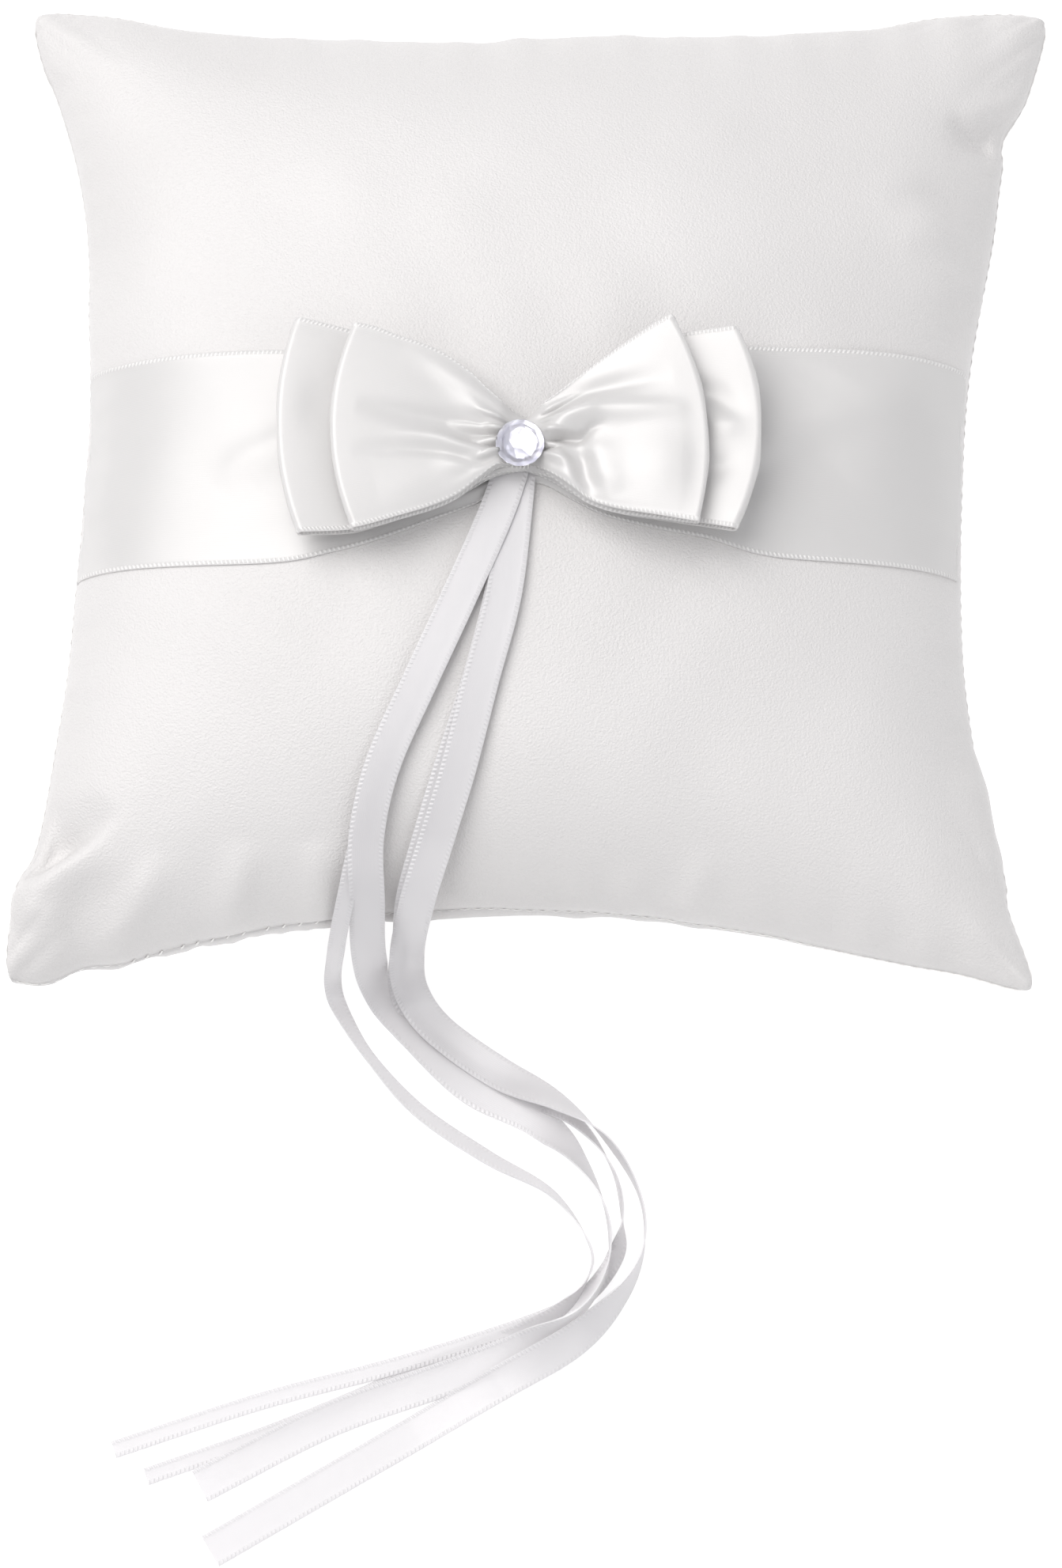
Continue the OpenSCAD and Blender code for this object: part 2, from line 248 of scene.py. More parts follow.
def ribbon_piece(name, node, p, run, offset, thickness, cord, material):
    """A closed ribbon from a grid of mid-points p[i][j], i along and j across, with a woven cord
    along both edges. run is the length at each i, offset the distance from the middle at each j."""
    m, n = p.shape[:2]
    from_edge = np.abs(offset).max() - np.abs(offset)
    thick = thickness + cord * bell((from_edge - SELVAGE_IN) / (0.25 * MM))
    half = grid_normals(p) * thick[None, :, None] / 2
    verts = np.vstack([(p + half).reshape(-1, 3), (p - half).reshape(-1, 3)])
    uv = np.stack(np.broadcast_arrays(run[:, None], from_edge[None, :]), -1).reshape(-1, 2)
    rim = outline(np.arange(m * n).reshape(m, n))
    edges = np.sort(np.stack([rim, np.roll(rim, -1)], -1), axis=1)
    sharp = {tuple(edge) for edge in np.vstack([edges, edges + m * n]).tolist()}
    piece = new_piece(
        name, verts, shell_faces(m, n), material, np.vstack([uv, uv]), sharp
    )
    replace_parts(piece, node)
    return piece


def across_offsets(width, inner):
    """Offsets from the middle, close together at the selvages."""
    edge = np.array([0, 0.15, 0.3, 0.45, 0.6, 0.75, 0.95]) * MM
    left = -width / 2 + edge
    middle = np.linspace(left[-1], -left[-1], inner + 2)[1:-1]
    return np.r_[left, middle, -left[::-1]]


# ---------------------------------------------------------------- materials
def principled(name, colour, roughness, **inputs):
    material = bpy.data.materials.new(name)
    material.use_nodes = True
    shader = material.node_tree.nodes["Principled BSDF"]
    shader.inputs["Base Color"].default_value = (*colour, 1)
    shader.inputs["Roughness"].default_value = roughness
    for key, value in inputs.items():
        shader.inputs[key.replace("_", " ")].default_value = value
    return material, material.node_tree.nodes, material.node_tree.links, shader


def add_node(nodes, kind, **inputs):
    """A new shader node, with constant values on its sockets."""
    node = nodes.new("ShaderNode" + kind)
    for key, value in inputs.items():
        node.inputs[key].default_value = value
    return node


def mottle(nodes, links, shader, coords, low, high, scale, detail=2.0):
    """Slow change of colour over the piece."""
    spots = add_node(nodes, "TexNoise", Scale=scale, Detail=detail)
    ramp = nodes.new("ShaderNodeValToRGB")
    ramp.color_ramp.elements[0].position = 0.3
    ramp.color_ramp.elements[0].color = (*low, 1)
    ramp.color_ramp.elements[1].position = 0.7
    ramp.color_ramp.elements[1].color = (*high, 1)
    links.new(coords, spots.inputs["Vector"])
    links.new(spots.outputs["Fac"], ramp.inputs["Fac"])
    links.new(ramp.outputs["Color"], shader.inputs["Base Color"])
    return ramp


def mottled(name, colour, roughness, low, high, scale, detail=2.0, **inputs):
    """A plain material whose colour varies between low and high over the object."""
    material, nodes, links, shader = principled(name, colour, roughness, **inputs)
    coords = nodes.new("ShaderNodeTexCoord").outputs["Object"]
    mottle(nodes, links, shader, coords, low, high, scale, detail)
    return material


def satin_panel_material():
    """Back-crepe satin: a fine pebbled grain under a soft sheen."""
    material, nodes, links, shader = principled(
        "satin_panel", (0.67, 0.655, 0.647), 0.6, Metallic=0.2, Sheen_Weight=0.1, Sheen_Roughness=0.4
    )
    coords = nodes.new("ShaderNodeTexCoord").outputs["Object"]
    mottle(nodes, links, shader, coords, (0.655, 0.64, 0.634), (0.685, 0.67, 0.664), 25)
    grain = add_node(nodes, "TexNoise", Scale=2400, Detail=3)
    links.new(coords, grain.inputs["Vector"])
    bump = add_node(nodes, "Bump", Strength=0.7, Distance=0.25 * MM)
    links.new(grain.outputs["Fac"], bump.inputs["Height"])
    links.new(bump.outputs["Normal"], shader.inputs["Normal"])
    return material


def satin_ribbon_material(name, colour, sheer, stitching):
    """Double-faced satin ribbon: glossy, with fine warp threads along its length. sheer is the
    share of light that comes through it, stitching how strong the painted highlight and painted
    shade on its selvage stitches are."""
    material, nodes, links, shader = principled(
        name, colour, 0.42, Metallic=0.18, Sheen_Weight=0.1, Sheen_Roughness=0.3
    )
    uv = nodes.new("ShaderNodeUVMap").outputs["UV"]
    pale = tuple(min(1, c * 1.015) for c in colour)
    ramp = mottle(nodes, links, shader, uv, colour, pale, 60)

    # The selvage: slanted raised stitches, a painted highlight on each crown, painted shade in each gap.
    place = nodes.new("ShaderNodeSeparateXYZ")
    links.new(uv, place.inputs[0])

    def maths(operation, a, b, c=None):
        node = nodes.new("ShaderNodeMath")
        node.operation = operation
        for socket, value in zip(node.inputs, (a, b, c)):
            if isinstance(value, (int, float)):
                socket.default_value = value
            elif value is not None:
                links.new(value, socket)
        return node.outputs[0]

    along, from_edge = place.outputs[0], place.outputs[1]
    lean = maths("MULTIPLY", from_edge, 2500)
    slant = maths("MULTIPLY_ADD", along, 2 * math.pi / STITCH, lean)
    crown = maths("MULTIPLY_ADD", maths("SINE", slant, 0), 0.7, 0.5)
    crown = maths("MINIMUM", maths("MAXIMUM", crown, 0), 1)
    off_middle = maths("ABSOLUTE", maths("SUBTRACT", from_edge, SELVAGE_IN), 0)
    at_edge = maths("LESS_THAN", off_middle, 0.34 * MM)
    # Painted light: colour A is painted shade for the stitch gaps, colour B a painted highlight for the
    # crowns.
    stitches = nodes.new("ShaderNodeMix")
    stitches.data_type = "RGBA"
    stitches.inputs["A"].default_value = (*(c * (1 - 0.05 * stitching) for c in colour), 1)
    stitches.inputs["B"].default_value = (*(min(1, c * (1 + 0.18 * stitching)) for c in colour), 1)
    links.new(crown, stitches.inputs["Factor"])
    # Along the selvage the painted stitch highlight and shade take the place of the plain colour.
    selvage = nodes.new("ShaderNodeMix")
    selvage.data_type = "RGBA"
    links.new(at_edge, selvage.inputs["Factor"])
    links.new(ramp.outputs["Color"], selvage.inputs["A"])
    links.new(stitches.outputs["Result"], selvage.inputs["B"])
    links.new(selvage.outputs["Result"], shader.inputs["Base Color"])
    threads = add_node(nodes, "TexWave", Scale=900, Distortion=1.5, Detail=1)
    threads.bands_direction = "Y"
    links.new(uv, threads.inputs["Vector"])
    bump = add_node(nodes, "Bump", Strength=0.12, Distance=0.05 * MM)
    links.new(threads.outputs["Fac"], bump.inputs["Height"])
    raised = add_node(nodes, "Bump", Strength=0.7, Distance=0.12 * MM)
    links.new(maths("MULTIPLY", crown, at_edge), raised.inputs["Height"])
    links.new(bump.outputs["Normal"], raised.inputs["Normal"])
    links.new(raised.outputs["Normal"], shader.inputs["Normal"])

    # Thin ribbon lets some light through.
    through = add_node(nodes, "BsdfTranslucent", Color=(0.88, 0.87, 0.87, 1))
    both = add_node(nodes, "MixShader", Fac=sheer)
    links.new(shader.outputs["BSDF"], both.inputs[1])
    links.new(through.outputs["BSDF"], both.inputs[2])
    links.new(both.outputs["Shader"], nodes["Material Output"].inputs["Surface"])
    return material


def thread_material():
    return mottled("thread", (0.88, 0.87, 0.85), 0.7, (0.84, 0.83, 0.81), (0.92, 0.91, 0.89), 3000)


def fibre_material():
    return mottled(
        "fibrefill", (0.9, 0.9, 0.89), 0.95, (0.82, 0.82, 0.81), (0.93, 0.93, 0.92), 180, 8.0
    )


def crystal_material():
    return mottled(
        "crystal", (0.97, 0.97, 1.0), 0.0, (0.95, 0.95, 0.99), (0.99, 0.99, 1.0), 200,
        Transmission_Weight=1.0, IOR=1.55
    )


def foil_material():
    return mottled(
        "foil", (0.9, 0.9, 0.94), 0.35, (0.82, 0.82, 0.9), (0.93, 0.92, 0.95), 400, Metallic=1.0
    )


def glue_material():
    return mottled(
        "glue", (0.9, 0.88, 0.8), 0.2, (0.86, 0.83, 0.72), (0.93, 0.91, 0.84), 300,
        Transmission_Weight=0.5
    )


# ---------------------------------------------------------------- the pillow's shape
CORNER_TIPS = np.array([(-1.04, -1.01), (0.997, -1.03), (1.06, 1.025), (-1.02, 1.03)])
CORNER_ROUND = 3.0 * MM
# Unevenness of the four sides: place along the side and shift in x or y, in mm
LEFT_SIDE = [
    (-95, 0), (-81, -0.9), (-76, -1.1), (-72, 0.6), (-65, 1.2), (-50, 1.0), (-35, 1.1), (-18, 0.9),
    (0, 1.5), (12, 2.2), (25, 2.7), (36, 3.0), (45, 3.8), (55, 4.2), (65, 3.9), (72, 3.2),
    (80, 2.1), (85, 0.9), (95, 0),
]
RIGHT_SIDE = [
    (-95, 0), (-81, -2.0), (-76, -1.4), (-70, -1.6), (-65, -2.7), (-50, -2.9), (-35, -3.1), (-15, -2.6),
    (0, -2.2), (12, -2.2), (25, -2.0), (36, -1.5), (45, -1.1), (52, -1.1), (60, -1.7), (66, -2.2),
    (70, -3.2), (75, -1.6), (80, -0.5), (95, 0),
]
FAR_SIDE = [
    (-95, 0), (-86, -0.3), (-78, -0.8), (-70, -1.6), (-63, -2.2), (-55, -2.6), (-40, -2.5), (-25, -2.4),
    (-10, -2.2), (4, -1.0), (20, -0.9), (35, -1.4), (50, -1.2), (65, -1.2), (72, -0.4), (80, 0.2), (95, 0),
]
NEAR_SIDE = [
    (-95, 0), (-89, -0.5), (-83, 0.8), (-76, 0), (-69, 0.6), (-61, 1.2), (-54, 1.5), (-40, 1.8), (-25, 1.8),
    (-10, 1.8), (4, 1.5), (19, 1.4), (33, 0.7), (48, 0.2), (62, -0.4), (77, 0.4), (85, 0.4), (95, 0),
]
PULL_LEFT, PULL_RIGHT, PULL_NEAR, PULL_FAR = (v * MM for v in (12, 14, 15, 5))
BACK_FULLNESS = 1.12


def edge_line(points, x):
    """A smooth line through points, read off at x."""
    dense, _ = spline([(a, b, 0) for a, b in points], 0.5)
    return np.interp(x, dense[:, 0], dense[:, 1])


def plan(u, v):
    """Place in plan for u and v from -1 to 1, as in the CAD model."""
    near = CORNER_TIPS[0] + (CORNER_TIPS[1] - CORNER_TIPS[0]) * (u[..., None] + 1) / 2
    far = CORNER_TIPS[3] + (CORNER_TIPS[2] - CORNER_TIPS[3]) * (u[..., None] + 1) / 2
    tip = (near + (far - near) * (v[..., None] + 1) / 2) * HALF_W
    x = tip[..., 0] + np.where(u < 0, PULL_LEFT, -PULL_RIGHT) * u * u * (1 - v * v)
    y = tip[..., 1] + np.where(v < 0, PULL_NEAR, -PULL_FAR) * v * v * (1 - u * u)
    tuck = CORNER_ROUND * np.exp(-((1 - np.abs(u)) + (1 - np.abs(v))) / 0.035)
    shift_x = shift_y = 0
    for side, place, in_from in ((LEFT_SIDE, y, 1 + u), (RIGHT_SIDE, y, 1 - u)):
        shift_x = shift_x + edge_line(side, place / MM) * MM * np.exp(-in_from / 0.25)
    for side, place, in_from in ((NEAR_SIDE, x, 1 + v), (FAR_SIDE, x, 1 - v)):
        shift_y = shift_y + edge_line(side, place / MM) * MM * np.exp(-in_from / 0.25)
    return x - np.sign(u) * tuck + shift_x, y - np.sign(v) * tuck + shift_y


def pillow_surface(u, v, side):
    """The stuffed case's face (side 1) or back (side -1) before the cloth settles."""
    x, y = plan(u, v)
    fullness = 1 if side > 0 else BACK_FULLNESS
    rise = SEAM_Z * fullness * np.sqrt(np.maximum(0, (1 - u * u) * (1 - v * v)))
    # The corner at the near left is turned towards the near side.
    twist = 10 * MM * (v - u) / 0.3 * np.exp(-(2 + u + v) / 0.3)
    return np.stack([x, y, SEAM_Z + side * np.minimum(rise, SEAM_Z) + twist], -1)


def ripple(x, y, period, seed, count=10):
    """A smooth random swell between about -1 and 1, the same every time."""
    pick = np.random.RandomState(seed)
    total = np.zeros(np.broadcast(x, y).shape)
    for _ in range(count):
        angle = pick.uniform(0, 2 * np.pi)
        stretch = pick.uniform(0.7, 1.5)
        phase = pick.uniform(0, 2 * np.pi)
        wave = (x * math.cos(angle) + y * math.sin(angle)) * stretch / period
        total += np.sin(2 * np.pi * wave + phase)
    return total / math.sqrt(count)


def fold_lines(x, y, lines):
    """Heights of soft folds in a ribbon or panel, in mm at the places x, y in mm. Each line is
    (points, left, right): points are (x, y, height) along the fold, and left and right are how
    far it spreads on either side of that line."""
    total = np.zeros_like(x)
    for points, left, right in lines:
        p, _ = spline([(a, b, 0, h) for a, b, h in points], 0.8)
        away = np.full(x.shape, 1e9)
        near = np.zeros(x.shape)
        for k in range(len(p) - 1):
            d = p[k + 1, :2] - p[k, :2]
            length = np.hypot(*d)
            t = np.clip(((x - p[k, 0]) * d[0] + (y - p[k, 1]) * d[1]) / length**2, 0, 1)
            gap_x, gap_y = x - p[k, 0] - t * d[0], y - p[k, 1] - t * d[1]
            gap = np.hypot(gap_x, gap_y)
            spread = np.where(d[0] * gap_y - d[1] * gap_x > 0, left, right)
            closer = gap < away
            height = p[k, 3] + t * (p[k + 1, 3] - p[k, 3])
            near = np.where(closer, height * np.exp(-((gap / spread) ** 2)), near)
            away = np.minimum(away, gap)
        total += near
    return total


# Creases and hollows of the front panel: (x, y, height) in mm, then the spread on either side
PANEL_FOLDS = [
    ([(-95, -79, 0.8), (-92, -77.3, 1.7), (-89, -75.3, 1.9), (-85.5, -73, 1.3), (-79, -69, 0)], 1.5, 4.5),
    (
        [(-92.5, -76, -0.4), (-89.5, -73.6, -2.6), (-86, -71, -3.6), (-82, -68.4, -2.2), (-76, -64, 0)],
        6.0, 1.5,
    ),
    ([(-96, -80, 0), (-91, -82, 0.8), (-84, -84, 0)], 2.2, 3.0),
    ([(-88, -84, 0), (-80, -80, -0.9), (-72, -76, 0)], 5.0, 5.0),
    ([(95, 70, -0.6), (91, 70, -2.2), (86, 68, -1.4), (78, 64, 0)], 2.2, 3.6),
    ([(94, 76, 0.3), (88, 75, 1.0), (80, 72, 0)], 3.0, 2.0),
    ([(78, 71, 0), (82, 69.5, -1.2), (87, 66.5, -1.0)], 1.3, 2.5),
    ([(66, 52, 0), (75, 54, -1.0), (82, 51, -0.5), (86, 48, 0)], 3.0, 3.0),
    ([(70, 43, 0), (78, 43, -1.0), (84, 39, 0)], 3.0, 3.0),
    ([(66, 60, 0), (76, 46, 1.6), (84, 30, 0)], 5.0, 7.0),
    ([(86, -50, 0), (83, -58, 1.7), (86, -68, 1.1), (90, -76, 0)], 3.5, 4.0),
    ([(-79, -91, 0), (-72, -80, 1.5), (-66, -72, 0)], 3.0, 4.0),
    ([(-58, -87, 0), (-54, -78, 1.5), (-52, -70, 0)], 3.5, 3.0),
    ([(-41, -86, 0), (-39, -76, 1.2), (-40, -70, 0)], 3.0, 3.0),
    ([(15, -87, 0), (17, -80, 0.8), (19, -74, 0)], 2.5, 2.5),
    ([(27, -87, 0), (30, -79, 0.8), (33, -72, 0)], 2.5, 3.0),
]
BACK_FOLDS = [
    ([(-84, -88, 0), (-78, -86.5, 0.8), (-66, -83, 0.7), (-50, -80, 0.5), (-35, -78, 0)], 2.5, 2.5)
]


def panel_detail(u, v, side):
    """How far the cloth stands out from the smooth shape, in metres."""
    x, y = plan(u, v)
    x, y = x / MM, y / MM
    swell = 0.45 * ripple(x, y, 70, 3 + side) + 0.14 * ripple(x, y, 24, 8 + side)
    open_face = (1 - u**2) ** 0.5 * (1 - v**2) ** 0.5
    out = swell * open_face
    out = out + fold_lines(x, y, PANEL_FOLDS if side > 0 else BACK_FOLDS)
    for along, off, seed in ((x, v, 21), (y, u, 22)):
        from_seam = (1 - np.abs(off)) * 95
        gathers = ripple(along + np.sign(off) * 300, np.zeros_like(along), 9, seed, 7)
        out = out + 0.34 * gathers * np.exp(-from_seam / 7) * smooth(from_seam / 2)
    return out * MM


def refine(grid):
    """Twice as many cells each way, on the same smooth surface."""
    for axis in (0, 1):
        g = np.moveaxis(grid, axis, 0)
        ends = np.concatenate([2 * g[:1] - g[1:2], g, 2 * g[-1:] - g[-2:-1]])
        middle = (9 * (ends[1:-2] + ends[2:-1]) - ends[:-3] - ends[3:]) / 16
        full = np.empty((2 * len(g) - 1, *g.shape[1:]))
        full[0::2], full[1::2] = g, middle
        grid = np.moveaxis(full, 0, axis)
    return grid


def case_grids(cells):
    """u and v of the case's cells, closer together towards the seams."""
    f = np.linspace(-1, 1, cells + 1)
    f = 0.55 * f + 0.45 * np.sin(np.pi * f / 2)
    return np.meshgrid(f, f, indexing="ij")


def settle(front, back, u, v):
    """The two panels as cloth. They are cut square and a little larger than the shape they are
    drawn into, so they pucker along the seam and relax over the filling."""
    n = len(front)
    top = np.arange(n * n).reshape(n, n)
    low = top + n * n
    rim = np.ones((n, n), bool)
    rim[1:-1, 1:-1] = False
    low[rim] = top[rim]
    inner = np.full(2 * n * n, -1)
    used = np.unique(np.r_[top.ravel(), low.ravel()])
    inner[used] = np.arange(len(used))
    points = np.vstack([front.reshape(-1, 3), back.reshape(-1, 3)])[used]
    cut = np.stack([u, v, 0 * u], -1).reshape(-1, 3) * CUT_SIDE / 2
    cut = np.vstack([cut, cut])[used]
    faces = []
    for k, turn in ((inner[top], 1), (inner[low], -1)):
        faces.append(cells(k)[:, ::turn])
    # The solver is steadier with a case ten times the size.
    scale = 10
    mesh = bpy.data.meshes.new("case")
    mesh.from_pydata((points * scale).tolist(), [], np.vstack(faces).tolist())
    case = add_object("case", mesh)
    case.shape_key_add(name="stuffed")
    flat = case.shape_key_add(name="cut")
    flat.data.foreach_set("co", (cut * scale).astype(np.float32).ravel())
    hold = case.vertex_groups.new(name="filling")
    hold.add(list(range(len(points))), 0.12, "REPLACE")
    hold.add(inner[top[rim]].tolist(), 1.0, "REPLACE")
    cloth = case.modifiers.new("cloth", "CLOTH")
    for setting, value in dict(
        rest_shape_key=flat, vertex_group_mass="filling", pin_stiffness=0.6, quality=8, mass=0.2,
        tension_stiffness=30, compression_stiffness=20, shear_stiffness=8, bending_stiffness=0.4,
        use_pressure=True, uniform_pressure_force=2.0,
    ).items():
        setattr(cloth.settings, setting, value)
    cloth.settings.effector_weights.gravity = 0
    cloth.collision_settings.use_collision = False
    scene = bpy.context.scene
    settled = 25
    for frame_number in range(1, settled + 1):
        scene.frame_set(frame_number)
    shaped = case.evaluated_get(bpy.context.evaluated_depsgraph_get()).to_mesh()
    found = np.zeros(len(points) * 3, np.float32)
    shaped.vertices.foreach_get("co", found)
    moved = found.reshape(-1, 3) / scale - points
    length = np.linalg.norm(moved, axis=1, keepdims=True)
    limit = 2.5 * MM
    moved *= limit * np.tanh(length / limit) / np.maximum(length, 1e-9)
    # The filling is packed firmly in the middle and loosely along the seams.
    loose = np.maximum(np.abs(u), np.abs(v)).ravel() ** 3
    moved *= np.concatenate([loose, loose])[used][:, None]
    points = points + moved
    bpy.data.objects.remove(case)
    bpy.data.meshes.remove(mesh)
    scene.frame_set(1)
    return points[inner[top]], points[inner[low]]


def panel_piece(name, node, skin, side, material):
    """A closed sheet of cloth under the given outer skin, with its seam allowance turned in."""
    n = len(skin)
    edge = np.ones((n, n), bool)
    edge[1:-1, 1:-1] = False
    outward = grid_normals(skin) * side
    outward[edge] = (0, 0, side)
    inner = skin - outward * CLOTH_T
    toward = np.array([0, 0, SEAM_Z]) - inner[edge]
    toward[:, 2] = 0
    inner[edge] += unit(toward) * RIM_TUCK
    verts = np.vstack([skin.reshape(-1, 3), inner.reshape(-1, 3)])
    piece = new_piece(name, verts, shell_faces(n, n)[:, ::side], material)
    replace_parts(piece, node)
    return piece


def make_case(material):
    """Front and back panel. Returns the front one and its outline along the seam."""
    u, v = case_grids(72)
    front = pillow_surface(u, v, 1)
    back = pillow_surface(u, v, -1)
    front, back = settle(front, back, u, v)
    # Only the lowest few millimetres shift, to touch the floor again.
    back[..., 2] -= back[..., 2].min() * smooth(1 - back[..., 2] / (4 * MM))
    front, back, uv = refine(front), refine(back), refine(np.stack([u, v], -1))
    u, v = uv[..., 0], uv[..., 1]
    outermost = np.maximum(np.abs(u), np.abs(v))
    from_seam = (1 - outermost) * HALF_W
    skins = []
    for skin, side in ((front, 1), (back, -1)):
        rise = panel_detail(u, v, side)
        if side < 0:
            rise = rise * smooth((skin[..., 2] - 2 * MM) / (10 * MM))
        rise = np.where(rise < 0, rise * smooth(from_seam / (3 * MM)), rise)
        rise = np.where(outermost > 0.9999, 0, rise)
        skins.append(skin + grid_normals(skin) * side * rise[..., None])
    # The seam itself runs in a fine groove and waves a little up and down.
    groove = 1.1 * MM * np.exp(-from_seam / (0.7 * MM))
    wave = 0.5 * MM * ripple(u * 95 + v * 70, 0 * u, 17, 5, 6) * outermost**30
    for skin, side in zip(skins, (1, -1)):
        skin -= unit(np.stack([skin[..., 0], skin[..., 1], 0 * u], -1)) * groove[..., None]
        if side < 0:
            # Below the near seam's left half the back panel bulges out a little, unevenly.
            bumps = (1 + 0.25 * ripple(u * HALF_W / MM, 0 * u, 6, 23, 6)) * smooth((0.1 - u) / 0.3)
            skin[..., 1] -= 0.9 * MM * bumps * bell(((1 + v) * HALF_W / MM - 2.2) / 1.4) * (1 - u**8)
        skin[..., 2] += wave
        skin[..., 2] = np.maximum(skin[..., 2], 0)
    front_piece = panel_piece("front_panel_satin", "front_panel", skins[0], 1, material)
    panel_piece("back_panel_satin", "back_panel", skins[1], -1, material)
    return front_piece, outline(skins[0])


def make_filling(material):
    """The lumpy fibre inside, a little smaller than the case."""
    u, v = case_grids(40)
    skins = []
    for side in (1, -1):
        skin = pillow_surface(u * 0.91, v * 0.91, side)
        depth = (4.5 + 0.6 * ripple(u * 95, v * 95, 16, 40 + side)) * MM
        skin = skin - grid_normals(skin) * side * depth[..., None]
        skin[..., 2] = SEAM_Z + side * np.maximum(0.2 * MM, (skin[..., 2] - SEAM_Z) * side)
        skins.append(skin)
    verts = np.vstack([skin.reshape(-1, 3) for skin in skins])
    piece = new_piece("polyester_filling", verts, shell_faces(*u.shape), material)
    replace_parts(piece, "fibrefill")


class Ground:
    """Height of the pieces below, looked up from straight above on a fine grid."""

    def __init__(self, pieces, low, high, step, blur=0):
        verts, faces = [], []
        for piece in pieces:
            start = len(verts)
            verts += [tuple(vert.co) for vert in piece.data.vertices]
            faces += [tuple(start + k for k in face.vertices) for face in piece.data.polygons]
        tree = BVHTree.FromPolygons(verts, faces)
        self.low, self.step = low, step
        counts = [int((b - a) / step) + 2 for a, b in zip(low, high)]
        self.z = np.zeros(counts)
        down = Vector((0, 0, -1))
        for i in range(counts[0]):
            for j in range(counts[1]):
                hit = tree.ray_cast(Vector((low[0] + i * step, low[1] + j * step, 0.2)), down)[0]
                self.z[i, j] = hit.z if hit else 0
        # Cloth spans small steps: raise the foot of each step, then round it off.
        for _ in range(blur):
            self.z = self.spread(self.z, np.maximum)
        for _ in range(2 * blur):
            self.z = (self.spread(self.z, np.add) + self.z) / 6

    @staticmethod
    def spread(z, join):
        """Joins each cell with its four neighbours."""
        wide = np.pad(z, 1, mode="edge")
        total = join(join(z, wide[:-2, 1:-1]), wide[2:, 1:-1])
        return join(join(total, wide[1:-1, :-2]), wide[1:-1, 2:])

    def __call__(self, x, y):
        i = np.clip((x - self.low[0]) / self.step, 0, self.z.shape[0] - 1.001)
        j = np.clip((y - self.low[1]) / self.step, 0, self.z.shape[1] - 1.001)
        a, b = i.astype(int), j.astype(int)
        s, t = i - a, j - b
        z = self.z
        near = z[a, b] * (1 - s) + z[a + 1, b] * s
        far = z[a, b + 1] * (1 - s) + z[a + 1, b + 1] * s
        return near * (1 - t) + far * t


def dome_z(x, y):
    """Height of the plain dome, as in the CAD model."""
    return SEAM_Z * (1 + np.sqrt(np.maximum(0, (1 - (x / HALF_W) ** 2) * (1 - (y / HALF_W) ** 2))))


# ---------------------------------------------------------------- the band
# Edges of the band, from the left seam to the right one, in mm
BAND_FAR = [
    (-84, 21.5), (-50, 20.5), (-36, 19), (-24, 17), (-15, 14.5), (-10, 11.5), (-7, 8), (-4, 5.8),
    (0, 5), (3, 6), (7, 9), (12, 14), (20, 18.5), (30, 20.5), (45, 21), (82, 22),
]
BAND_NEAR = [
    (-85, -18.5), (-50, -20.5), (-36, -18.8), (-26, -16.2), (-18, -13.5), (-10, -10.6), (-7, -8.6),
    (-4, -7.2), (0, -6.8), (3, -7.4), (8, -10.2), (14, -13), (22, -14.8), (32, -16.4),
    (47, -19.6), (82, -18.5),
]
BAND_FOLDS = [
    ([(-38, 5, 0.9), (-47, 1.5, 0.9), (-53, -1, 0.6), (-57, -6, 0)], 6.0, 3.2),
    ([(-38, -9, 0.5), (-48, -10, 0.3), (-60, -12, 0)], 4.0, 6.0),
    ([(34, -1, 1.4), (42, 2, 1.6), (50, 6, 1.2), (62, 10.5, 0.8), (78, 16.5, 0.2)], 6.0, 4.0),
    ([(70, 22, 0.6), (68, 12, 2.2), (62, 4, 1.2), (56, -2, 0)], 9.0, 14.0),
    ([(34, -9, 0.7), (48, -10, 0.5), (64, -9, 0)], 4.0, 4.0),
    ([(-83, 16, 0), (-79, 3, 0.5), (-82, -12, 0)], 3.0, 3.0),
    ([(80, 16, 0), (77, 4, 0.5), (79, -12, 0)], 3.0, 3.0),
]


def wide_ribbon(name, node, p, offset, material):
    """A piece of the 40 mm ribbon, as long as the middle line of its grid of points."""
    run = run_along(p[:, len(offset) // 2])
    piece = ribbon_piece(name, node, p, run, offset, RIBBON_T, RIBBON_CORD, material)
    return piece


def make_band(material, ground):
    """A ribbon from side seam to side seam, gathered under the bow."""
    ends = [plan(np.array(side), np.array(0.0))[0] / MM for side in (-1.0, 1.0)]
    x = np.linspace(ends[0] + 1.2, ends[1] - 1.4, 420)
    far, near = edge_line(BAND_FAR, x), edge_line(BAND_NEAR, x)
    offset = across_offsets(RIBBON_W, 44)
    s = offset / RIBBON_W + 0.5
    px = np.broadcast_to(x[:, None], (len(x), len(s))).copy()
    py = near[:, None] + (far - near)[:, None] * s[None, :]
    # At the side seams the ribbon's ends are caught along the curved outline.
    for end, sign in ((ends[0], -1), (ends[1], 1)):
        shift = plan(np.array(float(sign)), py * MM / HALF_W)[0] / MM - end
        px += shift * smooth(1 - np.abs(px - end) / 30)
    # The ends go into the side seams, so nowhere is the ribbon below them.
    under = np.maximum(ground(px * MM, py * MM) / MM, SEAM_Z / MM)
    gathered = bell((px + 2) / 13)
    pleats = 0.5 * np.sin(2 * np.pi * 4.5 * (s[None, :] - 0.5)) * gathered
    z = under + 0.25 + 0.5 * gathered + pleats + fold_lines(px, py, BAND_FOLDS) * (1 - gathered)
    z = np.maximum(z, under + 0.22)
    p = np.stack([px, py, z], -1) * MM
    return wide_ribbon("ribbon_band", "band_ribbon", p, offset, material)


